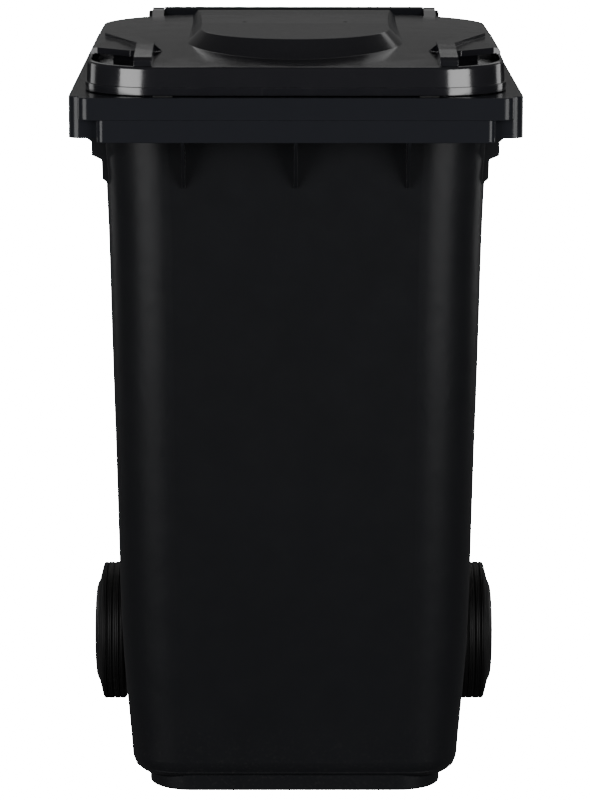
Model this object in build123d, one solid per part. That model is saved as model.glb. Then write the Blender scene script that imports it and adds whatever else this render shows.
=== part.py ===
from build123d import *
import os

# Two-wheeled refuse bin of the 240-litre class, in millimetres. +Z is up and the front, with the
# lifting rail, faces -Y. The origin is on the ground, under the centre of the overall box.
# The tub and the lid are one-piece mouldings; the lid turns on two pins at the ends of the handle,
# and two push-fit wheels turn on a steel axle behind the foot of the tub.

# ---- overall ----
HALF_WIDTH = 291.0        # outer face of the rim skirt
FRONT = -365.0            # face of the lifting rail

# ---- tub wall: z, half width, front y, back y, corner radius ----
WALL = 4.0
TUB_SECTIONS = [
    (14, 219, -246, 232, 68),
    (60, 221.5, -247.5, 240, 70),
    (130, 227.5, -251, 248, 73),
    (320, 236, -264, 262, 78),
    (535, 241, -279, 268, 82),
    (700, 244.5, -291, 272, 85),
    (841, 249, -302, 275, 86),
    (966, 254, -312, 278, 86),
]
TUB_FLOOR = TUB_SECTIONS[0][0]
LIP_TOP = TUB_SECTIONS[-1][0]
FOOT_ROUND = 28.0         # radius under the tub, between wall and floor
FOOT_LINE = (25.5, 28.5, 3.2)      # low, high and inset of the fine ridge round the foot
HEEL = [(214, -10), (214, 168), (276, 258), (330, 258), (330, -10)]   # y, z of the space for the axle
PLINTH = (196, -238, 192, 58)      # half width, front, back, corner radius
PLINTH_WALL = 5.0

# ---- rim ----
RIM_TOP = 949.0
RIM_PLATE = 5.0
RIM_SKIRT = 4.0
RIM_BOTTOM = 895.0
RIM_FRONT = -345.0
RIM_BACK = 300.0
RIM_CORNER = 16.0
RIM_EDGE = 1.5            # small round on the moulded edges of the rim
RAIL_STEP = 920.0         # height where the lower band of the lifting rail starts
RAIL_BOTTOM = 891.0
RAIL_UPPER_HALF = 278.0
RAIL_LOWER_HALF = 254.0
RAIL_LOWER_INSET = 2.0
GUSSET = 4.0
FRONT_GUSSETS_X = [-145, 0, 145]
SIDE_GUSSETS_Y = [-240, -75, 88, 240]
BACK_GUSSETS_X = [-235, -88, 88, 235]

# ---- handle and hinge ----
HINGE_Y = 349.0
HINGE_Z = 988.0
BAR_R = 16.0
BAR_HALF = 186.5
BRACKET = 15.0
PIN_R = 7.0
PIN_TIP = 118.0           # distance of the pin's inner end from the middle of the bin
PIN_HEAD_R = 11.0
PIN_HEAD = 5.0
KNUCKLE_OUT = 204.0
KNUCKLE_GAP = 0.6
RUNNING = 0.08            # radial clearance of a turning fit

# ---- lid ----
LID_WALL = 3.5
LID_HALF = 271.0
LID_FRONT = -350.0
LID_BACK = 300.0
LID_CORNERS = (92, 72)    # plan radius at the front and at the back
LID_BOTTOM = 950.4
LID_EDGE = 986.0          # height of the front top edge
LID_ROUND = 4.0           # round between skirt and top
LID_BACK_BOTTOM = 968.0
LID_DRAFT = 2.5
LID_CROWN = [(-360, 985.5, 985.5), (-200, 989.5, 994.5), (-20, 992, 999), (150, 991, 999), (320, 988.5, 996)]
CROWN_FLAT = 150.0        # LID_CROWN is y, side height and middle height; the middle reaches this far out
BEAD = 1.5
BEAD_TOP = 960.5
DOME_BASE = (157, -96, 196)        # half width, y where the round front starts, depth of that round
DOME_TOP = (121, -126, 128)
DOME_BASE_Z = 984.0
DOME_TOP_Z = 1016.0
DOME_BACK = 286.0
DOME_RIDGE = [(-260, 1014), (-60, 1016.5), (140, 1011), (300, 1004)]   # y, z of the dome's top line
GRIP_IN = 184.0           # inner and outer side of the nose at the front of each corner grip
GRIP_OUT = 207.0
GRIP_NOSE = [(-339, 980), (-339, 994), (-334, 998), (-280, 1003), (-244, 1006), (-190, 1006), (-190, 980)]   # y, z
GRIP_FOOT = [(158, -190), (207, -226), (254, -92), (226, -50)]      # x, y of the diagonal ridge at the lid
GRIP_CREST = [(186, -226), (205, -226), (254, -84), (229, -56)]     # and along its flat top
GRIP_TOP = 1006.0
HOOD_PLAN = [(204, -268), (214, -268), (258, -226), (268.5, -204), (268.5, 70), (262, 70), (240, -92), (204, -200)]
HOOD_ALONG = [(-300, 1000), (-225, 1000), (-130, 1002), (-60, 1001), (80, 990)]      # y, z of the hood's top
HOOD_ACROSS = [(200, 1002), (256, 1001), (265, 998), (268.5, 993)]                  # x, z of the hood's top
HOLLOW_PLAN = [(209, -275), (262, -232), (262, -206), (238, -212), (209, -236)]                          # x, y
CORNER_PLAN = [(207, -400), (300, -400), (300, -206), (262, -206), (209, -240), (207, -240)]             # x, y
HOLLOW_TOP = 992.0        # underside of the hood over the fingers
CORNER_FLOOR = 982.0      # lowered corner of the lid in front of the hood
CORNER_LEDGE = 4.0        # raised edge left round the lowered corner

# ---- wheels ----
AXLE_Y = 257.0
AXLE_Z = 100.0
AXLE_R = 10.0
AXLE_END = 281.0
CAP_END = 290.0
GROOVE_X = 262.0
GROOVE_R = 8.0
GROOVE_HALF = 4.6
BOSS_END = 236.0
BOSS_R = 18.0
TYRE_R = 100.0
TYRE_SEAT = 72.0
TYRE_IN = 243.5
TYRE_TREAD_OUT = 277.0
TYRE_WALL_OUT = 282.4
TREAD_GROOVES_X = [251.5, 260.0, 268.5]
HUB_IN = 239.0
HUB_WEB = 6.0
HUB_BORE = 13.0
HUB_BOSS_R = 20.0
HUB_RIM_IN = 63.0
SPOKES = 6
LATCH_R = 4.0
LATCH_TIP = 8.3
LATCH_COLLAR = (26.3, 28.5, 5.7)   # start, end and radius of the collar on the latch pin
LATCH_STEM = (36.0, 2.0)
SPRING_SEAT = 44.0
SPRING_TURNS = 7
SPRING_R = 4.2
SPRING_WIRE = 0.6

# ---- rubber buffers between rim and lid ----
BUFFERS = [(-170, -348.5, 0), (170, -348.5, 0), (-269.5, 170, 90), (269.5, 170, 90)]   # x, y, turn
BUFFER_TOP = 950.1
BUFFER_SEAT = 946.5       # floor of the shallow recess that holds each pad


def outline(half_width, front, back, front_radius, back_radius=None):
    """A rectangle in plan with its own corner radius at the front and at the back."""
    plan = Pos(0, (front + back) / 2) * Rectangle(2 * half_width, back - front)
    near = plan.vertices().group_by(Axis.Y)[0]
    plan = fillet(near, front_radius)
    if back_radius == 0:
        return plan
    far = plan.vertices().group_by(Axis.Y)[-1]
    return fillet(far, back_radius or front_radius)


def slab(plan, low, high):
    """A plan outline raised from one height to another."""
    return Pos(0, 0, low) * extrude(plan, high - low)


def plate_x(points, middle, thickness):
    """A flat plate across X, from an outline of (y, z) points."""
    face = make_face(Polyline(*[(0, y, z) for y, z in points], close=True))
    return Pos(middle - thickness / 2, 0, 0) * extrude(face, thickness, dir=(1, 0, 0))


def plate_y(points, middle, thickness):
    """A flat plate across Y, from an outline of (x, z) points."""
    face = make_face(Polyline(*[(x, 0, z) for x, z in points], close=True))
    return Pos(0, middle - thickness / 2, 0) * extrude(face, thickness, dir=(0, 1, 0))


def rod(start, end, radius, y, z):
    """A round bar along X."""
    return Pos((start + end) / 2, y, z) * Rot(0, 90, 0) * Cylinder(radius, abs(end - start))


def both(part):
    """A part and its mirror image across the middle of the bin."""
    return part + mirror(part, about=Plane.YZ)


def turned(points):
    """A solid of revolution about X through the origin, from (x, radius) points."""
    return revolve(make_face(Polyline(*points, close=True)), Axis.X)


def at_axle(part):
    return Pos(0, AXLE_Y, AXLE_Z) * part


# ---------------------------------------------------------------- tub

def tub_form(inset):
    """The tapered body of the tub, its walls moved inwards by inset."""
    levels = []
    for z, half, front, back, radius in TUB_SECTIONS:
        z = z + inset if z in (TUB_FLOOR, LIP_TOP) else z
        plan = outline(half - inset, front + inset, back - inset, radius - inset)
        levels.append(Pos(0, 0, z) * plan)
    body = loft(levels)
    return fillet(body.faces().sort_by(Axis.Z)[0].edges(), FOOT_ROUND - inset)


def heel_space(grow):
    """The space cut out of the back of the foot, where the axle runs."""
    face = make_face(Polyline(*[(0, y, z) for y, z in HEEL], close=True))
    if grow:
        face = offset(face, grow, kind=Kind.INTERSECTION)
    return Pos(-400, 0, 0) * extrude(face, 800, dir=(1, 0, 0))


def rim():
    """Top plate and side skirts round the mouth."""
    edge = outline(HALF_WIDTH, RIM_FRONT, RIM_BACK, RIM_CORNER)
    inside = outline(HALF_WIDTH - RIM_SKIRT, RIM_FRONT + RIM_SKIRT, RIM_BACK - RIM_SKIRT, RIM_CORNER - RIM_SKIRT)
    block = slab(edge, RIM_BOTTOM, RIM_TOP)
    block = fillet(block.faces().sort_by(Axis.Z)[-1].edges(), RIM_EDGE)
    skirt = block - slab(inside, RIM_BOTTOM - 1, RIM_TOP - RIM_PLATE)
    window = 2 * (RIM_TOP - RIM_PLATE - RIM_BOTTOM)
    return skirt - Pos(0, RIM_FRONT, RIM_BOTTOM) * Box(2 * RAIL_LOWER_HALF, 20, window)


def lip(half_width, front, low, high, ceiling, corner):
    """One step of the lifting rail: a front wall with rounded ends and edges, hollow up to the ceiling."""
    reach = RIM_FRONT + 40
    block = slab(outline(half_width, front, reach, corner, 0), low, high)
    block = fillet(block.faces().sort_by(Axis.Z)[-1].edges().filter_by(lambda e: e.center().Y < reach - 1), RIM_EDGE)
    block = fillet(block.faces().sort_by(Axis.Z)[0].edges().filter_by(lambda e: e.center().Y < reach - 1), RIM_EDGE)
    hollow = outline(half_width - RIM_SKIRT, front + RIM_SKIRT, reach + 20, corner - RIM_SKIRT, 0)
    return block - slab(hollow, low - 1, ceiling)


def lifting_rail():
    """The two-step front lip that the comb of a collection lorry lifts by."""
    overlap = RAIL_STEP + RIM_PLATE
    upper = lip(RAIL_UPPER_HALF, FRONT, RAIL_STEP, RIM_TOP, RIM_TOP - RIM_PLATE, 14)
    lower = lip(RAIL_LOWER_HALF, FRONT + RAIL_LOWER_INSET, RAIL_BOTTOM, overlap, overlap + 1, 9)
    return upper + lower


def gussets():
    """Thin fins under the rim: on the front between the comb's teeth, on the sides and at the back."""
    front = [(-362, 946), (-362, RAIL_BOTTOM + 2), (-304, 826), (-285, 822), (-285, 946)]
    side = [(288, 946), (288, 897), (285, 895), (266, 878), (266, 861), (253, 855), (252, 830),
            (240, 820), (232, 820), (232, 946)]
    back = [(298, 946), (298, 897), (270, 858), (262, 858), (262, 946)]
    fins = Part()
    for x in FRONT_GUSSETS_X:
        fins += plate_x(front, x, GUSSET)
    for y in SIDE_GUSSETS_Y:
        fins += both(plate_y(side, y, 2 * GUSSET))
    for x in BACK_GUSSETS_X:
        fins += plate_x(back, x, GUSSET)
    return fins


def handle():
    """The grip bar across the back and the three brackets that carry it."""
    arm = [(262, 944), (303, 946), (337, 990), (341, 999), (349, 1003), (352, 974), (338, 970), (284, 892), (262, 880)]
    bar = rod(-BAR_HALF, BAR_HALF, BAR_R, HINGE_Y, HINGE_Z)
    arms = plate_x(arm, 0, BRACKET) + both(plate_x(arm, BAR_HALF - BRACKET / 2, BRACKET))
    tunnel = both(rod(PIN_TIP + 10, BAR_HALF + 1, PIN_R + 0.05, HINGE_Y, HINGE_Z))
    tunnel += both(rod(PIN_TIP - 4, PIN_TIP + 10, PIN_R + 1.2, HINGE_Y, HINGE_Z))
    return bar + arms, tunnel


def axle_housing():
    """Ribs and end bosses behind the foot, bored for the axle."""
    rib = [(190, 60), (AXLE_Y - 4, 80), (AXLE_Y + 14, 86), (AXLE_Y + 18, AXLE_Z), (AXLE_Y + 14, 114),
           (AXLE_Y - 2, 124), (236, 210), (190, 210)]
    ribs = Part()
    for x in (60, 150):
        ribs += both(plate_x(rib, x, 5))
    ribs += both(plate_x(rib, 211, 10))
    ribs += at_axle(both(rod(206, BOSS_END, BOSS_R, 0, 0)))
    shaft = at_axle(rod(-300, 300, AXLE_R + RUNNING, 0, 0))
    return ribs, shaft


def plinth():
    """The foot ring that stands on the ground, with cross ribs inside."""
    half, front, back, radius = PLINTH
    ring = slab(outline(half, front, back, radius), 0, TUB_FLOOR + 10)
    ring -= slab(outline(half - PLINTH_WALL, front + PLINTH_WALL, back - PLINTH_WALL, radius - PLINTH_WALL), -1, TUB_FLOOR)
    ring = fillet(ring.faces().sort_by(Axis.Z)[0].outer_wire().edges(), 3)
    inside = slab(outline(half - 1, front + 1, back - 1, radius), 4, TUB_FLOOR + 10)
    ribs = Part()
    for x in (-110, 0, 110):
        ribs += Pos(x, (front + back) / 2, 11) * Box(3, back - front, 14)
    for y in (-130, -22, 86):
        ribs += Pos(0, y, 11) * Box(2 * half, 3, 14)
    return ring + (ribs & inside)


def tub():
    low, high, step = FOOT_LINE
    _, half, front, back, radius = TUB_SECTIONS[0]
    line = slab(outline(half - step, front + step, back - step, radius - step), low, high)
    shell = tub_form(0) + line - heel_space(0)
    cavity = tub_form(WALL) - heel_space(WALL)
    bar, pin_tunnel = handle()
    ribs, shaft = axle_housing()
    body = shell + rim() + lifting_rail() + gussets() + bar + ribs + plinth()
    body = body - cavity - pin_tunnel - shaft
    for x, y, turn in BUFFERS:
        seat = fillet(Box(27.4, 11.4, 20).edges().filter_by(Axis.Z), 4.2)
        body -= Pos(x, y, BUFFER_SEAT + 10) * Rot(0, 0, turn) * seat
        body -= Pos(x, y, RIM_TOP - 10) * Cylinder(2.6, 40)
    return body


# ---------------------------------------------------------------- lid

def d_plan(half, start, depth, inset):
    """Plan of the dome: straight sides and an elliptical front."""
    half, depth = half - inset, depth - inset
    back = DOME_BACK - inset
    plan = Pos(0, (start + back) / 2) * Rectangle(2 * half, back - start)
    return plan + Pos(0, start) * Ellipse(half, depth)


def dome(inset):
    """The raised centre of the lid: sloping sides, a steep round front and a top that falls to the back."""
    low, high = DOME_BASE_Z - inset, DOME_TOP_Z + 4
    body = loft([Pos(0, 0, low) * d_plan(*DOME_BASE, inset), Pos(0, 0, high) * d_plan(*DOME_TOP, inset)], ruled=True)
    first, last = DOME_RIDGE[0][1] - inset, DOME_RIDGE[-1][1] - inset
    over = [(-400, 1100), (-400, first)] + [(y, z - inset) for y, z in DOME_RIDGE] + [(340, last), (340, 1100)]
    return body - plate_x(over, 0, 800)


def ridge(inset):
    """The diagonal ridge of one corner grip."""
    foot = make_face(Polyline(*GRIP_FOOT, close=True))
    crest = make_face(Polyline(*GRIP_CREST, close=True))
    if inset:
        foot = offset(foot, -inset)
        crest = offset(crest, -inset)
    return loft([Pos(0, 0, LID_EDGE - 8 - inset) * foot, Pos(0, 0, GRIP_TOP - inset) * crest], ruled=True)


def nose():
    """The block at the front of one corner grip, which curves up and back from the edge of the lid."""
    return plate_x(GRIP_NOSE, (GRIP_IN + GRIP_OUT) / 2, GRIP_OUT - GRIP_IN)


def under(line, low, across):
    """The space below a polyline: (x, z) points carried along Y if across, else (y, z) points along X."""
    points = line + [(line[-1][0], low), (line[0][0], low)]
    return plate_y(points, 0, 900) if across else plate_x(points, 0, 900)


def hood():
    """The finger bar of one corner grip, which overhangs a hollow and runs out along the side of the lid."""
    block = slab(make_face(Polyline(*HOOD_PLAN, close=True)), LID_EDGE - 8, 1050)
    return block & under(HOOD_ALONG, 960, False) & under(HOOD_ACROSS, 960, True)


def crowned(inset):
    """The space under the gently crowned top of the lid, lofted from back to front."""
    sections = []
    for y, side, middle in LID_CROWN:
        arch = [(-280, side), (-CROWN_FLAT, middle), (0, middle), (CROWN_FLAT, middle), (280, side)]
        top = Spline(*[(x, y, z - inset) for x, z in arch])
        frame = Polyline((280, y, side - inset), (280, y, 890), (-280, y, 890), (-280, y, side - inset))
        sections.append(make_face(top + frame))
    return loft(sections)


def lid_form(inset):
    """The solid form of the lid, its surfaces moved inwards by inset."""
    near, far = LID_CORNERS
    low = LID_BOTTOM - (20 if inset else 0)
    edge = outline(LID_HALF - inset, LID_FRONT + inset, LID_BACK - inset, near - inset, far - inset)
    top = outline(LID_HALF - LID_DRAFT - inset, LID_FRONT + LID_DRAFT + inset, LID_BACK - inset, near - inset, far - inset)
    form = loft([Pos(0, 0, low) * edge, Pos(0, 0, 1010) * top], ruled=True) & crowned(inset)
    return fillet([e for e in form.edges() if e.center().Z > LID_EDGE - 8], LID_ROUND - inset / 2)


def lowered_corners(grow):
    """The space over the lowered front corners, where the fingers go in under the hoods."""
    near, far = LID_CORNERS
    ledge = CORNER_LEDGE - grow
    inside = outline(LID_HALF - LID_DRAFT - ledge, LID_FRONT + LID_DRAFT + ledge, LID_BACK, near - ledge, far)
    corner = make_face(Polyline(*CORNER_PLAN, close=True))
    if grow:
        corner = offset(corner, grow, kind=Kind.INTERSECTION)
    return both(slab(corner & inside, CORNER_FLOOR - grow, 1050))


def hinge_arms():
    """The two ears at the back of the lid, with the knuckles that turn on the pins."""
    ear = [(280, 980), (296, 972), (338, 974), (349, 974), (349, 1002), (336, 1000), (304, 989), (284, 984)]
    middle, width = (KNUCKLE_OUT + BAR_HALF + KNUCKLE_GAP) / 2, KNUCKLE_OUT - BAR_HALF - KNUCKLE_GAP
    arm = plate_x(ear, middle, width) + rod(BAR_HALF + KNUCKLE_GAP, KNUCKLE_OUT, BAR_R - 1, HINGE_Y, HINGE_Z)
    return both(arm), both(rod(BAR_HALF - 5, KNUCKLE_OUT + 5, PIN_R + RUNNING, HINGE_Y, HINGE_Z))


def lid():
    near, far = LID_CORNERS
    wide = outline(LID_HALF + BEAD, LID_FRONT - BEAD, LID_BACK, near + BEAD, far)
    narrow = outline(LID_HALF - 2, LID_FRONT + 2, LID_BACK - 2, near - 2, far - 2)
    arms, bore = hinge_arms()
    outside = lid_form(0) - lowered_corners(0) + dome(0) + both(ridge(0) + nose() + hood())
    inside = lid_form(LID_WALL) - lowered_corners(LID_WALL) + dome(LID_WALL) + both(ridge(LID_WALL))
    hollow = slab(make_face(Polyline(*HOLLOW_PLAN, close=True)), CORNER_FLOOR, HOLLOW_TOP)
    cover = slab(offset(make_face(Polyline(*HOLLOW_PLAN, close=True)), LID_WALL), CORNER_FLOOR - LID_WALL, HOLLOW_TOP)
    inside -= both(cover)
    body = outside - inside - both(hollow) + slab(wide - narrow, LID_BOTTOM, BEAD_TOP)
    body -= Pos(0, LID_BACK, LID_BACK_BOTTOM - 40) * Box(2 * (LID_HALF - far + 10), 60, 80)
    return body + arms - bore


# ---------------------------------------------------------------- fittings

def hinge_pin():
    """A plastic pin with a flat head and a split, barbed end."""
    seat = KNUCKLE_OUT + KNUCKLE_GAP
    points = [(seat + PIN_HEAD, 0), (seat + PIN_HEAD, PIN_HEAD_R - 2), (seat + PIN_HEAD - 2, PIN_HEAD_R),
              (seat, PIN_HEAD_R), (seat, PIN_R), (PIN_TIP + 8, PIN_R), (PIN_TIP + 7, PIN_R + 0.9),
              (PIN_TIP + 5, PIN_R + 0.9), (PIN_TIP, PIN_R - 1.5), (PIN_TIP, 0)]
    pin = turned(points) - Pos(PIN_TIP + 10, 0, 0) * Box(26, 2.4, 40)
    return Pos(0, HINGE_Y, HINGE_Z) * pin


def axle():
    """A straight steel bar with a groove near each end for the wheel latches."""
    bar = rod(-AXLE_END, AXLE_END, AXLE_R, 0, 0)
    bar = chamfer(bar.edges(), 1.5)
    ring = Pos(GROOVE_X, 0, 0) * Rot(0, 90, 0) * (Cylinder(20, 2 * GROOVE_HALF) - Cylinder(GROOVE_R, 2 * GROOVE_HALF))
    return at_axle(bar - both(ring))


def washer():
    ring = Rot(0, 90, 0) * (Cylinder(17, 2.2) - Cylinder(AXLE_R + 0.3, 2.2))
    return at_axle(Pos(BOSS_END + 1.4, 0, 0) * ring)


def tyre():
    """Solid rubber, with a tapered outer wall and three grooves round the tread."""
    profile = [(TYRE_IN, TYRE_SEAT), (TYRE_IN, 95), (TYRE_IN + 1.5, 98.5), (TYRE_IN + 5, TYRE_R),
               (TYRE_TREAD_OUT - 3, TYRE_R), (TYRE_TREAD_OUT, 98), (TYRE_WALL_OUT, 76.5), (TYRE_WALL_OUT, TYRE_SEAT)]
    ring = turned(profile)
    for x in TREAD_GROOVES_X:
        ring -= turned([(x - 1.3, TYRE_R + 1), (x - 0.7, TYRE_R - 1.5), (x + 0.7, TYRE_R - 1.5), (x + 1.3, TYRE_R + 1)])
    return at_axle(ring)


def latch_line(part):
    """Sets a part made along Z on the line of the latch, up from the axle."""
    return Pos(GROOVE_X, 0, 0) * part


def hub():
    """Moulded wheel centre: seat for the tyre, web, spokes, boss and the housing of the latch."""
    seat = turned([(TYRE_IN, HUB_RIM_IN), (TYRE_IN, TYRE_SEAT), (TYRE_WALL_OUT, TYRE_SEAT), (TYRE_WALL_OUT, HUB_RIM_IN)])
    web = turned([(252, HUB_BORE), (252, HUB_RIM_IN + 2), (252 + HUB_WEB, HUB_RIM_IN + 2), (252 + HUB_WEB, HUB_BORE)])
    boss = turned([(HUB_IN, HUB_BORE), (HUB_IN, HUB_BOSS_R), (281, HUB_BOSS_R), (281, HUB_BORE)])
    centre = seat + web + boss
    for i in range(SPOKES):
        spoke = Pos(257.5, 0, (HUB_RIM_IN + HUB_BOSS_R) / 2) * Box(25, 5, HUB_RIM_IN - HUB_BOSS_R + 3)
        centre += Rot(360 / SPOKES * i, 0, 0) * spoke
    centre += latch_line(Pos(0, 0, 32) * Cylinder(9, 31))
    bore = turned([(HUB_IN - 1, 0), (HUB_IN - 1, HUB_BORE), (290, HUB_BORE), (290, 0)])
    chamber = latch_line(Pos(0, 0, (26 + SPRING_SEAT) / 2) * Cylinder(6, SPRING_SEAT - 26))
    guide = latch_line(Pos(0, 0, 17) * Cylinder(LATCH_R + 0.1, 22))
    return at_axle(centre - bore - chamber - guide)


def bush():
    """Nylon sleeve between hub and axle, with a hole for the latch pin."""
    sleeve = turned([(HUB_IN, AXLE_R + RUNNING), (HUB_IN, HUB_BORE), (281, HUB_BORE), (281, AXLE_R + RUNNING)])
    return at_axle(sleeve - latch_line(Pos(0, 0, 12) * Cylinder(LATCH_R + 0.3, 12)))


def hub_cap():
    """A shallow domed disc that closes the outer side of the hub."""
    outside = [(TYRE_WALL_OUT, 75.5), (284.9, 70.4), (287.1, 64.6)]
    dome = [(288.6, 45), (289.6, 24), (CAP_END, 0)]
    inside = [(287.4, 0), (287, 24), (286, 45), (284.2, 62), (TYRE_WALL_OUT, 66)]
    cap = turned(outside + dome + inside)
    snap = turned([(272, HUB_RIM_IN), (272, HUB_RIM_IN - 2.5), (285.4, HUB_RIM_IN - 2.5), (284.6, HUB_RIM_IN)])
    return at_axle(cap + snap - turned([(271, 60), (271, 62.99), (274, 62.99), (274, 62.5), (284, 62.5), (284, 60)]))


def latch_pin():
    """The sprung pin that drops into the axle groove and holds the wheel on."""
    start, end, radius = LATCH_COLLAR
    stem_end, stem_r = LATCH_STEM
    pin = Pos(0, 0, (LATCH_TIP + start) / 2) * Cylinder(LATCH_R, start - LATCH_TIP)
    pin = chamfer(pin.faces().sort_by(Axis.Z)[0].edges(), 0.8)
    pin += Pos(0, 0, (start + end) / 2) * Cylinder(radius, end - start)
    pin += Pos(0, 0, (end + stem_end) / 2) * Cylinder(stem_r, stem_end - end)
    return at_axle(latch_line(pin))


def latch_spring():
    """A compression spring between the latch collar and the end of its chamber."""
    low = LATCH_COLLAR[1] + SPRING_WIRE + 0.1
    high = SPRING_SEAT - SPRING_WIRE - 0.1
    line = Helix((high - low) / SPRING_TURNS, high - low, SPRING_R)
    wire = sweep(Plane(line @ 0, z_dir=line % 0) * Circle(SPRING_WIRE), line)
    return at_axle(latch_line(Pos(0, 0, low) * wire))


def lid_buffers():
    """Four rubber pads in the rim, under the edge of the lid."""
    pads = []
    for x, y, turn in BUFFERS:
        pad = Pos(0, 0, (BUFFER_SEAT + BUFFER_TOP) / 2) * Box(26, 10, BUFFER_TOP - BUFFER_SEAT)
        pad = fillet(pad.edges().filter_by(Axis.Z), 3.5)
        pad = chamfer(pad.faces().sort_by(Axis.Z)[-1].edges(), 0.8)
        stem = Pos(0, 0, BUFFER_SEAT - 3) * Cylinder(2.5, 6) + Pos(0, 0, RIM_TOP - RIM_PLATE - 1.8) * Cone(2.2, 3.6, 3)
        pads.append(Pos(x, y, 0) * Rot(0, 0, turn) * (pad + stem))
    return Compound(children=pads)


def save(name, shape):
    export_step(shape, f"parts/{name}.step")


def save_pair(name, right):
    save(f"{name}_right", right)
    save(f"{name}_left", mirror(right, about=Plane.YZ))


os.makedirs("parts", exist_ok=True)
save("tub", tub())
save("lid", lid())
save("axle", axle())
save("lid_buffers", lid_buffers())
save_pair("hinge_pin", hinge_pin())
save_pair("axle_washer", washer())
save_pair("tyre", tyre())
save_pair("wheel_hub", hub())
save_pair("wheel_bush", bush())
save_pair("hub_cap", hub_cap())
save_pair("latch_pin", latch_pin())
save_pair("latch_spring", latch_spring())
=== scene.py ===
import bpy
import math
from mathutils import Matrix, Vector


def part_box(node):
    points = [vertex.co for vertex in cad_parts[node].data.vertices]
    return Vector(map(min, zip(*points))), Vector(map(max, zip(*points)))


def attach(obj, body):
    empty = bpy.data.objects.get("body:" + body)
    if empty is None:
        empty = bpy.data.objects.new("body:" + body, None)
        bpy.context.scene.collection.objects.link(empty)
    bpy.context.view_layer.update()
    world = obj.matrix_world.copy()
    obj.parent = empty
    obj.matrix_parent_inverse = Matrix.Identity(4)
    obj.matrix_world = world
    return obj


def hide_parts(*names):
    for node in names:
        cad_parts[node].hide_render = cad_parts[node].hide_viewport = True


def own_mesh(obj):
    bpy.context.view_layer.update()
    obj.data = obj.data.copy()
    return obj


# A two-wheeled refuse bin in black moulded plastic. Metres; +Z is up and the front faces -Y.
# The large shapes come from the frame; the tyres, hub caps, latch coils and gate marks are modelled here.

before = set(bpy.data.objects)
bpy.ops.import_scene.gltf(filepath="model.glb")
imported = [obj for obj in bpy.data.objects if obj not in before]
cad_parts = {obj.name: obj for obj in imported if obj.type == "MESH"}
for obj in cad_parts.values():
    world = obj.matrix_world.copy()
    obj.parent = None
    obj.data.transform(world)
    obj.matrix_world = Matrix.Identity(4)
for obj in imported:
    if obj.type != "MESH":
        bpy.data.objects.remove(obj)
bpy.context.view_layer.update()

TURN = 2 * math.pi
MM = 0.001
SIDES = ((-1, "left"), (1, "right"))


# ---------------------------------------------------------------- shader helpers

def add(tree, kind, **settings):
    """Adds a node and sets its properties."""
    node = tree.nodes.new(kind)
    for name, value in settings.items():
        setattr(node, name, value)
    return node


def wire(tree, source, target):
    tree.links.new(source, target)


def math_node(tree, operation, first, second=None, clamp=False):
    """A Math node on sockets or plain numbers; gives its output."""
    node = add(tree, "ShaderNodeMath", operation=operation, use_clamp=clamp)
    for socket, value in zip(node.inputs, (first, second)):
        if value is None:
            continue
        if isinstance(value, (int, float)):
            socket.default_value = value
        else:
            wire(tree, value, socket)
    return node.outputs[0]


def spread(tree, value, low, high, to_low=0.0, to_high=1.0):
    """Maps a value from one range to another, held at the ends."""
    node = add(tree, "ShaderNodeMapRange", clamp=True)
    wire(tree, value, node.inputs["Value"])
    for name, number in (("From Min", low), ("From Max", high), ("To Min", to_low), ("To Max", to_high)):
        node.inputs[name].default_value = number
    return node.outputs["Result"]


def noise(tree, vector, scale, detail=3.0, roughness=0.5, distortion=0.0):
    node = add(tree, "ShaderNodeTexNoise")
    wire(tree, vector, node.inputs["Vector"])
    node.inputs["Scale"].default_value = scale
    node.inputs["Detail"].default_value = detail
    node.inputs["Roughness"].default_value = roughness
    node.inputs["Distortion"].default_value = distortion
    return node.outputs["Fac"]


def new_group(name, inputs, outputs):
    """A shader node group with float inputs (name, default) and outputs by name."""
    tree = bpy.data.node_groups.new(name, "ShaderNodeTree")
    for label, default in inputs:
        socket = tree.interface.new_socket(label, in_out="INPUT", socket_type="NodeSocketFloat")
        socket.default_value = default
    for label in outputs:
        tree.interface.new_socket(label, in_out="OUTPUT", socket_type="NodeSocketFloat")
    return tree, add(tree, "NodeGroupInput"), add(tree, "NodeGroupOutput")


def place(tree, group, **values):
    """Puts a group in a material with its own values."""
    node = add(tree, "ShaderNodeGroup", node_tree=group)
    for label, value in values.items():
        node.inputs[label.replace("_", " ")].default_value = value
    return node


def stretched(tree, source, x, y, z):
    """Coordinates scaled by its own amount along each axis."""
    node = add(tree, "ShaderNodeVectorMath", operation="MULTIPLY")
    wire(tree, source, node.inputs[0])
    node.inputs[1].default_value = (x, y, z)
    return node.outputs[0]


def scaled(tree, source, factor):
    """Coordinates multiplied by a socket."""
    node = add(tree, "ShaderNodeVectorMath", operation="SCALE")
    wire(tree, source, node.inputs[0])
    wire(tree, factor, node.inputs["Scale"])
    return node.outputs[0]


# ---------------------------------------------------------------- shared surface effects

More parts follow.
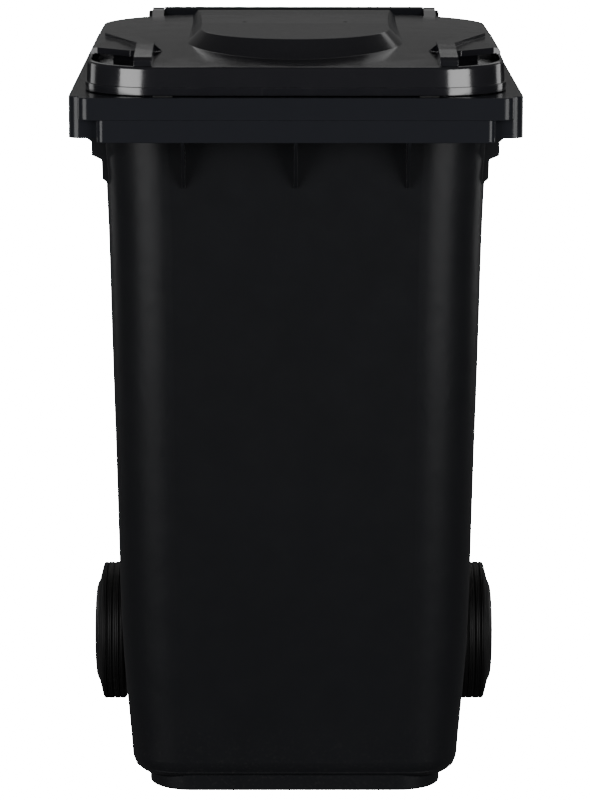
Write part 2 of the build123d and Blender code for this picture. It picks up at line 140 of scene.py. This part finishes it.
def build_mould_texture():
    """The skin of a plastic moulding: spark-eroded grain, slow waviness and clouding of the colour."""
    tree, given, result = new_group(
        "mould texture", [("Grain Scale", 900.0), ("Wave Scale", 14.0), ("Grain Share", 0.5)],
        ["Height", "Cloud", "Gloss Change"])
    coords = add(tree, "ShaderNodeTexCoord").outputs["Object"]
    fine = noise(tree, scaled(tree, coords, given.outputs["Grain Scale"]), 1.0, 2.0, 0.6)
    slow = noise(tree, scaled(tree, coords, given.outputs["Wave Scale"]), 1.0, 2.0, 0.4)
    share = given.outputs["Grain Share"]
    rest = math_node(tree, "SUBTRACT", 1.0, share)
    height = math_node(tree, "ADD", math_node(tree, "MULTIPLY", fine, share),
                       math_node(tree, "MULTIPLY", slow, rest))
    wire(tree, height, result.inputs["Height"])
    cloud = noise(tree, coords, 5.0, 4.0, 0.6, 0.4)
    wire(tree, spread(tree, cloud, 0.3, 0.7), result.inputs["Cloud"])
    patches = noise(tree, coords, 23.0, 5.0, 0.65)
    wire(tree, spread(tree, patches, 0.35, 0.7), result.inputs["Gloss Change"])
    return tree


def build_edge_wear():
    """A mask of the outer edges, broken up, where handling has polished and paled the plastic."""
    tree, given, result = new_group("edge wear", [("Radius", 0.002), ("Amount", 0.5)], ["Mask"])
    rounded = add(tree, "ShaderNodeBevel", samples=4)
    wire(tree, given.outputs["Radius"], rounded.inputs["Radius"])
    straight = add(tree, "ShaderNodeNewGeometry")
    compare = add(tree, "ShaderNodeVectorMath", operation="DOT_PRODUCT")
    wire(tree, rounded.outputs["Normal"], compare.inputs[0])
    wire(tree, straight.outputs["Normal"], compare.inputs[1])
    edge = spread(tree, compare.outputs["Value"], 0.995, 0.90)
    coords = add(tree, "ShaderNodeTexCoord").outputs["Object"]
    broken = spread(tree, noise(tree, coords, 60.0, 5.0, 0.7), 0.40, 0.62)
    mask = math_node(tree, "MULTIPLY", math_node(tree, "MULTIPLY", edge, broken), given.outputs["Amount"])
    wire(tree, mask, result.inputs["Mask"])
    return tree


def build_dust():
    """Fine dust that settles on what faces up, and a splash line near the ground."""
    tree, given, result = new_group("dust", [("Amount", 0.3), ("Splash Height", 0.12)], ["Mask"])
    shape = add(tree, "ShaderNodeNewGeometry")
    normal = add(tree, "ShaderNodeSeparateXYZ")
    wire(tree, shape.outputs["Normal"], normal.inputs[0])
    coords = add(tree, "ShaderNodeTexCoord").outputs["Object"]
    where = add(tree, "ShaderNodeSeparateXYZ")
    wire(tree, coords, where.inputs[0])
    settled = spread(tree, normal.outputs["Z"], 0.55, 1.0)
    speckle = spread(tree, noise(tree, coords, 160.0, 6.0, 0.75), 0.48, 0.72)
    top = math_node(tree, "MULTIPLY", settled, speckle)
    below = math_node(tree, "DIVIDE", where.outputs["Z"], given.outputs["Splash Height"])
    low = spread(tree, below, 0.1, 1.0, 1.0, 0.0)
    specks = spread(tree, noise(tree, coords, 240.0, 3.0, 0.6), 0.55, 0.75)
    splash = math_node(tree, "MULTIPLY", low, specks)
    both = math_node(tree, "MAXIMUM", top, splash)
    wire(tree, math_node(tree, "MULTIPLY", both, given.outputs["Amount"]), result.inputs["Mask"])
    return tree


# Scale along x, y and z, and the value at which a line starts: level scratches, then upright ones.
SCRATCH_DIRECTIONS = ((9.0, 9.0, 420.0, 0.70), (380.0, 380.0, 7.0, 0.71))
SCRATCH_SOFTNESS = 0.05


def build_scuffs():
    """Level and upright hair scratches, in patches."""
    tree, given, result = new_group("scuffs", [("Amount", 0.4)], ["Mask"])
    coords = add(tree, "ShaderNodeTexCoord").outputs["Object"]
    masks = []
    for x, y, z, low in SCRATCH_DIRECTIONS:
        line = noise(tree, stretched(tree, coords, x, y, z), 1.0, 3.0, 0.6, 0.35)
        masks.append(spread(tree, line, low, low + SCRATCH_SOFTNESS))
    zones = spread(tree, noise(tree, coords, 6.0, 2.0, 0.5), 0.5, 0.66)
    lines = math_node(tree, "MAXIMUM", masks[0], masks[1])
    mask = math_node(tree, "MULTIPLY", math_node(tree, "MULTIPLY", lines, zones), given.outputs["Amount"])
    wire(tree, mask, result.inputs["Mask"])
    return tree


MOULD_TEXTURE = build_mould_texture()
EDGE_WEAR = build_edge_wear()
DUST = build_dust()
SCUFFS = build_scuffs()


# ---------------------------------------------------------------- materials

def blank_material(name):
    """A new material with only a Principled shader and its output."""
    material = bpy.data.materials.new(name)
    material.use_nodes = True
    tree = material.node_tree
    tree.nodes.clear()
    shader = add(tree, "ShaderNodeBsdfPrincipled")
    output = add(tree, "ShaderNodeOutputMaterial")
    wire(tree, shader.outputs[0], output.inputs["Surface"])
    return material, tree, shader


COLOUR_A, COLOUR_B, COLOUR_RESULT = 6, 7, 2     # the Mix node's colour sockets


def mix_colour(tree, factor, first, second):
    """Mixes two colours, each a tuple or a socket."""
    node = add(tree, "ShaderNodeMix", data_type="RGBA")
    wire(tree, factor, node.inputs["Factor"])
    for socket, value in ((node.inputs[COLOUR_A], first), (node.inputs[COLOUR_B], second)):
        if isinstance(value, tuple):
            socket.default_value = (*value, 1.0)
        else:
            wire(tree, value, socket)
    return node.outputs[COLOUR_RESULT]


def bump(tree, height, strength, distance):
    node = add(tree, "ShaderNodeBump")
    wire(tree, height, node.inputs["Height"])
    node.inputs["Strength"].default_value = strength
    node.inputs["Distance"].default_value = distance
    return node


WORN_PLASTIC = (0.06, 0.061, 0.064)
SCRATCHED_PLASTIC = (0.075, 0.075, 0.078)
PLASTIC_DUST = (0.16, 0.15, 0.135)
WORN_RUBBER = (0.012, 0.012, 0.0115)
RUBBER_DUST = (0.14, 0.13, 0.115)
GRAIN_DEPTH = 0.0004      # bump distance of moulded skins
STEEL_DEPTH = 0.0002
NYLON_DEPTH = 0.0003


def moulded_plastic(name, dark, light, gloss, specular, grain, wear, dust, edge_radius, polish_and_sheen=None):
    """Black moulded plastic. gloss is (lowest, highest) roughness and grain is (scale, share, depth).

    The last argument gives (height it starts, height it is full, change of roughness, colour) for a smoother
    upper part; the lighter colour there is painted sheen.
    """
    material, tree, shader = blank_material(name)
    skin = place(tree, MOULD_TEXTURE, Grain_Scale=grain[0], Grain_Share=grain[1])
    edges = place(tree, EDGE_WEAR, Radius=edge_radius, Amount=wear).outputs["Mask"]
    settled = place(tree, DUST, Amount=dust).outputs["Mask"]
    lines = place(tree, SCUFFS, Amount=wear).outputs["Mask"]
    colour = mix_colour(tree, skin.outputs["Cloud"], dark, light)
    if polish_and_sheen:
        where = add(tree, "ShaderNodeSeparateXYZ")
        wire(tree, add(tree, "ShaderNodeTexCoord").outputs["Object"], where.inputs[0])
        upper = spread(tree, where.outputs["Z"], polish_and_sheen[0], polish_and_sheen[1])
        # painted sheen: the upper part takes a lighter colour in place of its highlights
        colour = mix_colour(tree, upper, colour, polish_and_sheen[3])
    colour = mix_colour(tree, math_node(tree, "MULTIPLY", edges, 0.5), colour, WORN_PLASTIC)
    colour = mix_colour(tree, math_node(tree, "MULTIPLY", lines, 0.4), colour, SCRATCHED_PLASTIC)
    colour = mix_colour(tree, settled, colour, PLASTIC_DUST)
    wire(tree, colour, shader.inputs["Base Color"])
    rough = spread(tree, skin.outputs["Gloss Change"], 0.0, 1.0, *gloss)
    if polish_and_sheen:
        rough = math_node(tree, "ADD", rough, math_node(tree, "MULTIPLY", upper, polish_and_sheen[2]))
    rough = math_node(tree, "ADD", rough, math_node(tree, "MULTIPLY", lines, 0.15))
    rough = math_node(tree, "ADD", rough, math_node(tree, "MULTIPLY", settled, 0.4), clamp=True)
    wire(tree, rough, shader.inputs["Roughness"])
    shader.inputs["Specular IOR Level"].default_value = specular
    round_edge = add(tree, "ShaderNodeBevel", samples=4)
    round_edge.inputs["Radius"].default_value = edge_radius * 0.6
    relief = bump(tree, skin.outputs["Height"], grain[2], GRAIN_DEPTH)
    wire(tree, round_edge.outputs["Normal"], relief.inputs["Normal"])
    wire(tree, relief.outputs["Normal"], shader.inputs["Normal"])
    return material


def rubber(name):
    """Solid tyre rubber: dull, with fine turning lines round the axle and a little bloom."""
    material, tree, shader = blank_material(name)
    coords = add(tree, "ShaderNodeTexCoord").outputs["Object"]
    skin = place(tree, MOULD_TEXTURE, Grain_Scale=1500.0, Grain_Share=0.8)
    settled = place(tree, DUST, Amount=0.16, Splash_Height=0.06).outputs["Mask"]
    edges = place(tree, EDGE_WEAR, Radius=0.0012, Amount=0.6).outputs["Mask"]
    across = noise(tree, stretched(tree, coords, 900.0, 3.0, 3.0), 1.0, 2.0, 0.5)
    colour = mix_colour(tree, skin.outputs["Cloud"], (0.0028, 0.0028, 0.0030), (0.0050, 0.0050, 0.0050))
    colour = mix_colour(tree, math_node(tree, "MULTIPLY", edges, 0.6), colour, WORN_RUBBER)
    colour = mix_colour(tree, settled, colour, RUBBER_DUST)
    wire(tree, colour, shader.inputs["Base Color"])
    wire(tree, spread(tree, across, 0.3, 0.7, 0.42, 0.62), shader.inputs["Roughness"])
    shader.inputs["Specular IOR Level"].default_value = 0.12
    height = math_node(tree, "ADD", math_node(tree, "MULTIPLY", across, 0.7), skin.outputs["Height"])
    wire(tree, bump(tree, height, 0.35, GRAIN_DEPTH).outputs["Normal"], shader.inputs["Normal"])
    return material


def steel(name, colour_dark, colour_light, rough_low, rough_high):
    """Drawn and plated steel: fine lines along the bar, spangle and dull spots."""
    material, tree, shader = blank_material(name)
    coords = add(tree, "ShaderNodeTexCoord").outputs["Object"]
    drawn = noise(tree, stretched(tree, coords, 12.0, 900.0, 900.0), 1.0, 2.0, 0.5)
    spots = noise(tree, coords, 70.0, 5.0, 0.7)
    colour = mix_colour(tree, spread(tree, spots, 0.35, 0.7), colour_dark, colour_light)
    wire(tree, colour, shader.inputs["Base Color"])
    shader.inputs["Metallic"].default_value = 1.0
    rough = math_node(tree, "ADD", spread(tree, drawn, 0.3, 0.7, rough_low, rough_high),
                      spread(tree, spots, 0.55, 0.75, 0.0, 0.15))
    wire(tree, rough, shader.inputs["Roughness"])
    wire(tree, bump(tree, drawn, 0.2, STEEL_DEPTH).outputs["Normal"], shader.inputs["Normal"])
    return material


def nylon(name):
    """Natural nylon: creamy, waxy, a little darker where grease has crept."""
    material, tree, shader = blank_material(name)
    skin = place(tree, MOULD_TEXTURE, Grain_Scale=700.0, Grain_Share=0.5)
    colour = mix_colour(tree, skin.outputs["Cloud"], (0.42, 0.39, 0.32), (0.62, 0.59, 0.51))
    wire(tree, colour, shader.inputs["Base Color"])
    wire(tree, spread(tree, skin.outputs["Gloss Change"], 0.0, 1.0, 0.32, 0.5), shader.inputs["Roughness"])
    shader.inputs["Subsurface Weight"].default_value = 0.1
    shader.inputs["Subsurface Scale"].default_value = 0.002
    wire(tree, bump(tree, skin.outputs["Height"], 0.2, NYLON_DEPTH).outputs["Normal"], shader.inputs["Normal"])
    return material


# The tub's upper part, the rim, is smoother, and its lighter colour there is painted sheen.
TUB_PLASTIC = moulded_plastic(
    "tub plastic", dark=(0.0046, 0.0048, 0.0055), light=(0.0050, 0.0052, 0.0061), gloss=(0.31, 0.36),
    specular=0.14, grain=(1100.0, 0.5, 0.22), wear=0.18, dust=0.03, edge_radius=0.0016,
    polish_and_sheen=(0.885, 0.892, -0.14, (0.0085, 0.009, 0.011)))
LID_PLASTIC = moulded_plastic(
    "lid plastic", dark=(0.0062, 0.0062, 0.0076), light=(0.0070, 0.0070, 0.0084), gloss=(0.12, 0.19),
    specular=0.5, grain=(260.0, 0.25, 0.22), wear=0.2, dust=0.03, edge_radius=0.002)
FITTING_PLASTIC = moulded_plastic(
    "fitting plastic", dark=(0.004, 0.004, 0.0042), light=(0.0055, 0.0055, 0.006), gloss=(0.28, 0.38),
    specular=0.3, grain=(1400.0, 0.6, 0.30), wear=0.3, dust=0.06, edge_radius=0.0008)
BUFFER_RUBBER = moulded_plastic(
    "buffer rubber", dark=(0.007, 0.007, 0.007), light=(0.013, 0.013, 0.013), gloss=(0.6, 0.75),
    specular=0.3, grain=(1800.0, 0.8, 0.4), wear=0.2, dust=0.1, edge_radius=0.0008)
TYRE_RUBBER = rubber("tyre rubber")
AXLE_STEEL = steel("plated axle steel", (0.42, 0.42, 0.40), (0.66, 0.66, 0.65), 0.22, 0.40)
LATCH_STEEL = steel("spring steel", (0.5, 0.5, 0.5), (0.75, 0.75, 0.76), 0.12, 0.25)
NYLON = nylon("natural nylon")

NODE_MATERIALS = {
    "tub": TUB_PLASTIC, "lid": LID_PLASTIC, "axle": AXLE_STEEL, "lid_buffers": BUFFER_RUBBER,
    "hinge_pin": FITTING_PLASTIC, "axle_washer": NYLON, "tyre": TYRE_RUBBER, "wheel_hub": FITTING_PLASTIC,
    "wheel_bush": NYLON, "hub_cap": FITTING_PLASTIC, "latch_pin": LATCH_STEEL, "latch_spring": LATCH_STEEL,
}


def finish_nodes():
    """Gives every node of the frame its material."""
    for name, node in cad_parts.items():
        base = name.removesuffix("_left").removesuffix("_right")
        node.data.materials.clear()
        node.data.materials.append(NODE_MATERIALS[base])


finish_nodes()


# ---------------------------------------------------------------- pieces turned on the axle line

SPIN_STEPS = 120
SEAM_DISTANCE = 0.01 * MM     # points nearer than this are one point
SEAM_ANGLE = math.radians(32)  # a sharper edge than this stays sharp
TREAD_PITCH = 1.25        # spacing of the fine ribs round the tread, mm
TREAD_RIB = 0.4           # their height
TREAD_RADIUS = 100
TREAD_SHOULDERS = (5.0, 30.5)
TREAD_GROOVES = (8.5, 17.5, 26.5)     # middle of each deeper groove, from the inner face
GROOVE_HALF_WIDTH = 0.8
GROOVE_DEPTH = 1.5


def lathe(name, profile, axis_at, side, closed):
    """Spins (x, radius) points in mm about an X axis through axis_at, towards +X or -X by side."""
    bpy.ops.object.select_all(action="DESELECT")
    bpy.ops.mesh.primitive_plane_add(size=1)
    piece = bpy.context.active_object
    piece.name = name
    bpy.ops.object.mode_set(mode="EDIT")
    bpy.ops.mesh.select_all(action="SELECT")
    bpy.ops.mesh.merge(type="CENTER")
    points = [Vector((side * x * MM, 0, radius * MM)) + axis_at for x, radius in profile]
    bpy.ops.transform.translate(value=points[0])
    for start, end in zip(points, points[1:]):
        bpy.ops.mesh.extrude_region_move(TRANSFORM_OT_translate={"value": end - start})
    bpy.ops.mesh.select_all(action="SELECT")
    if closed:
        bpy.ops.mesh.edge_face_add()
        bpy.ops.mesh.delete(type="ONLY_FACE")
        bpy.ops.mesh.select_all(action="SELECT")
    bpy.ops.mesh.spin(steps=SPIN_STEPS, angle=TURN, center=axis_at, axis=(1, 0, 0))
    bpy.ops.mesh.select_all(action="SELECT")
    bpy.ops.mesh.remove_doubles(threshold=SEAM_DISTANCE)
    bpy.ops.mesh.normals_make_consistent(inside=False)
    bpy.ops.object.mode_set(mode="OBJECT")
    bpy.ops.object.shade_smooth_by_angle(angle=SEAM_ANGLE)
    return piece


def tread():
    """Points along the tread: fine ribs broken by the grooves."""
    low, high = TREAD_SHOULDERS
    points = []
    count = int((high - low) / TREAD_PITCH)
    for i in range(count + 1):
        x = low + i * (high - low) / count
        groove = min(abs(x - at) for at in TREAD_GROOVES) < GROOVE_HALF_WIDTH
        valley = GROOVE_DEPTH if groove else TREAD_RIB * (i % 2)
        points.append((x, TREAD_RADIUS - valley))
    return points


# Outlines are (distance out from the inner face, radius) in mm, and the cap's start at the tyre's outer face.
SIDEWALL = [(33.0, 98.6), (34.0, 96.4), (34.5, 94.6), (34.1, 94.2), (34.3, 93.4), (34.9, 93.2), (35.6, 90.2),
            (35.2, 89.8), (35.4, 89.0), (36.0, 88.8), (37.6, 82.2), (38.5, 78.6), (38.9, 76.5), (38.9, 72.0)]
INNER_WALL = [(0, 72), (0, 76), (0.5, 78), (0.5, 90), (0, 92), (0, 95), (0.4, 97), (1.5, 98.5), (3.2, 99.6)]


def build_tyres():
    """Solid tyres with a ribbed tread and stepped walls."""
    for side, label in SIDES:
        low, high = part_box("tyre_" + label)
        centre = (low + high) / 2
        inner = low.x if side > 0 else high.x
        profile = INNER_WALL + tread() + SIDEWALL
        piece = lathe("tyre_tread_" + label, profile, Vector((inner, centre.y, centre.z)), side, True)
        piece.data.materials.append(TYRE_RUBBER)
        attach(piece, "wheel_" + label)
        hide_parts("tyre_" + label)


CAP_FACE = [(0, 66), (0, 75.5), (0.5, 75.2), (1.5, 73.0), (2.3, 71.2), (2.6, 70.6), (2.9, 70.2), (3.4, 69.0),
            (3.2, 68.6), (3.3, 68.0), (3.9, 67.6), (4.6, 65.0), (4.9, 64.2), (5.2, 62.0), (5.6, 56.0),
            (5.5, 55.5), (5.6, 54.9), (5.9, 54.6), (6.1, 48.0), (6.3, 44.0), (6.9, 30.0), (7.1, 26.5),
            (6.8, 26.0), (6.8, 25.2), (7.2, 24.6), (7.4, 16.0), (7.6, 0.0)]
CAP_BACK = [(5.0, 0.0), (4.6, 24.0), (3.6, 45.0), (1.8, 62.0), (0, 66)]


def build_caps():
    """Domed hub caps with moulded rings."""
    for side, label in SIDES:
        low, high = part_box("tyre_" + label)
        centre = (low + high) / 2
        outer = high.x if side > 0 else low.x
        axis_at = Vector((outer, centre.y, centre.z))
        piece = lathe("hub_cap_disc_" + label, CAP_FACE + CAP_BACK, axis_at, side, False)
        piece.data.materials.append(FITTING_PLASTIC)
        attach(piece, "wheel_" + label)
        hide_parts("hub_cap_" + label)


GATE_X = 68.0
GATE_Y = -25.0
GATE_DROP = 0.9       # how far the top of the dome is below its highest line there, mm
GATE_RADIUS = 2.4
GATE_DEPTH = 1.2
GATE_BEVEL = 0.25
GATE_ANGLE = math.radians(40)


def build_gate_marks():
    """Two small round stubs on top of the lid where the mould was filled."""
    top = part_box("lid")[1].z - GATE_DROP * MM
    for side, label in SIDES:
        bpy.ops.object.select_all(action="DESELECT")
        bpy.ops.mesh.primitive_cylinder_add(vertices=40, radius=GATE_RADIUS * MM, depth=GATE_DEPTH * MM)
        piece = bpy.context.active_object
        piece.name = "gate_mark_" + label
        bpy.ops.object.mode_set(mode="EDIT")
        bpy.ops.mesh.select_all(action="SELECT")
        bpy.ops.transform.translate(value=(side * GATE_X * MM, GATE_Y * MM, top))
        bpy.ops.mesh.bevel(offset=GATE_BEVEL * MM, segments=2, affect="EDGES")
        bpy.ops.mesh.normals_make_consistent(inside=False)
        bpy.ops.object.mode_set(mode="OBJECT")
        bpy.ops.object.shade_smooth_by_angle(angle=GATE_ANGLE)
        piece.data.materials.append(LID_PLASTIC)
        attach(piece, "lid")


SPRING_WIRE = 0.6     # radius of the wire, mm
SPRING_TURNS = 7
SPRING_STEPS = 28     # faces round each turn
SPRING_SIDES = 12     # faces round the wire


def build_springs():
    """The coil over each latch pin."""
    for label in ("left", "right"):
        low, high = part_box("latch_spring_" + label)
        wire_radius = SPRING_WIRE * MM
        coil = (high.x - low.x) / 2 - wire_radius
        rise = high.z - low.z - 2 * wire_radius
        bpy.ops.object.select_all(action="DESELECT")
        bpy.ops.mesh.primitive_circle_add(vertices=SPRING_SIDES, radius=wire_radius, fill_type="NOTHING")
        piece = bpy.context.active_object
        piece.name = "latch_coil_" + label
        bpy.ops.object.mode_set(mode="EDIT")
        bpy.ops.mesh.select_all(action="SELECT")
        bpy.ops.transform.rotate(value=math.pi / 2, orient_axis="X", center_override=(0, 0, 0))
        bpy.ops.transform.translate(value=(coil, 0, 0))
        bpy.ops.object.mode_set(mode="OBJECT")
        piece.location = ((low.x + high.x) / 2, (low.y + high.y) / 2, low.z + wire_radius)
        wind = piece.modifiers.new("wind", "SCREW")
        wind.axis = "Z"
        wind.iterations = SPRING_TURNS
        wind.screw_offset = rise / SPRING_TURNS
        wind.steps = wind.render_steps = SPRING_STEPS
        bpy.ops.object.modifier_apply(modifier=wind.name)
        bpy.ops.object.transform_apply(location=True, rotation=True, scale=True)
        bpy.ops.object.mode_set(mode="EDIT")
        bpy.ops.mesh.select_all(action="SELECT")
        bpy.ops.mesh.remove_doubles(threshold=0.000001)
        bpy.ops.mesh.fill_holes(sides=0)
        bpy.ops.mesh.select_all(action="SELECT")
        bpy.ops.mesh.normals_make_consistent(inside=False)
        bpy.ops.object.mode_set(mode="OBJECT")
        bpy.ops.object.shade_smooth()
        piece.data.materials.append(LATCH_STEEL)
        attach(piece, "wheel_" + label)
        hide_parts("latch_spring_" + label)
        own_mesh(piece)


build_tyres()
build_caps()
build_gate_marks()
build_springs()


# ---------------------------------------------------------------- floor, lights and camera

FLOOR_WHITE = 24.0          # emission of the floor and surround as the camera sees them
FLOOR_SIZE = 90
FLOOR_BACK = 20             # how far behind the bin the floor is centred
FLOOR_GAP = 0.0005          # the floor lies this far under the bin
SURROUND = 0.085            # strength of the even light from all round


def build_floor():
    """A wide plain floor: white to the eye, and dim in reflections so that black plastic stays black."""
    bpy.ops.object.select_all(action="DESELECT")
    bpy.ops.mesh.primitive_plane_add(size=FLOOR_SIZE, location=(0, FLOOR_BACK, -FLOOR_GAP))
    floor = bpy.context.active_object
    floor.name = "floor"
    material, tree, shader = blank_material("pale floor")
    coords = add(tree, "ShaderNodeTexCoord").outputs["Object"]
    tone = spread(tree, noise(tree, coords, 1.5, 2.0, 0.5), 0.3, 0.7)
    wire(tree, mix_colour(tree, tone, (0.11, 0.11, 0.11), (0.13, 0.13, 0.13)), shader.inputs["Base Color"])
    shader.inputs["Roughness"].default_value = 0.9
    shader.inputs["Specular IOR Level"].default_value = 0.1
    shader.inputs["Emission Color"].default_value = (1, 1, 1, 1)
    seen = add(tree, "ShaderNodeLightPath").outputs["Is Camera Ray"]
    wire(tree, math_node(tree, "MULTIPLY", seen, FLOOR_WHITE), shader.inputs["Emission Strength"])
    floor.data.materials.append(material)


def area_light(name, place_at, aim, width, height, power):
    """An oblong soft light at a place, aimed at a point."""
    light = bpy.data.lights.new(name, "AREA")
    light.shape = "RECTANGLE"
    light.size = width
    light.size_y = height
    light.energy = power
    lamp = bpy.data.objects.new(name, light)
    bpy.context.scene.collection.objects.link(lamp)
    toward = Vector(aim) - Vector(place_at)
    lamp.rotation_euler = toward.to_track_quat("-Z", "Y").to_euler()
    lamp.location = place_at


# Name, place, point aimed at, width, height, power in watts.
LIGHTS = (
    ("left box", (-2.7, -2.9, 1.25), (0, 0, 1.25), 2.4, 2.4, 190),
    ("right box", (2.6, -3.1, 1.25), (0, 0, 1.25), 2.4, 2.4, 190),
    ("left rim", (-3.4, 2.4, 1.0), (0, 0, 0.7), 1.2, 2.0, 11),
    ("right rim", (3.4, 2.4, 1.0), (0, 0, 0.7), 1.2, 2.0, 16),
    ("back key", (0.6, 4.6, 4.0), (0, 0.3, 0.4), 6.0, 3.0, 42),
    ("back panel", (0, 7.0, 2.4), (0, 0, 1.0), 12.0, 2.6, 3),
)


def build_lights():
    """Soft boxes in front, weaker lights behind, and a surround that is white only to the camera."""
    for light in LIGHTS:
        area_light(*light)
    world = bpy.data.worlds.new("surround")
    bpy.context.scene.world = world
    world.use_nodes = True
    tree = world.node_tree
    background = tree.nodes["Background"]
    background.inputs["Color"].default_value = (1, 1, 1, 1)
    seen = math_node(tree, "MULTIPLY", add(tree, "ShaderNodeLightPath").outputs["Is Camera Ray"], FLOOR_WHITE)
    wire(tree, math_node(tree, "ADD", seen, SURROUND), background.inputs["Strength"])


CAMERA_PLACE = (-0.023, -5.314, 1.488)
CAMERA_PITCH = math.radians(10.63)     # down from the horizontal
CAMERA_YAW = math.radians(0.255)       # towards +X
CAMERA_ROLL = math.radians(0.053)
SENSOR = 36.0                          # mm
LENS = 175.9725                        # mm
VIEW_DISTANCE = 200                    # how far the camera sees, m


def build_camera():
    """A long lens a little above the bin, looking down at its front."""
    camera = bpy.data.cameras.new("camera")
    camera.sensor_width = SENSOR
    camera.lens = LENS
    camera.clip_end = VIEW_DISTANCE
    holder = bpy.data.objects.new("camera", camera)
    bpy.context.scene.collection.objects.link(holder)
    tilt = Matrix.Rotation(math.pi / 2 - CAMERA_PITCH, 4, "X")
    turn = Matrix.Rotation(-CAMERA_YAW, 4, "Z")
    roll = Matrix.Rotation(CAMERA_ROLL, 4, "Z")
    holder.matrix_world = Matrix.Translation(CAMERA_PLACE) @ turn @ tilt @ roll
    bpy.context.scene.camera = holder


build_floor()
build_lights()
build_camera()

bpy.context.view_layer.update()
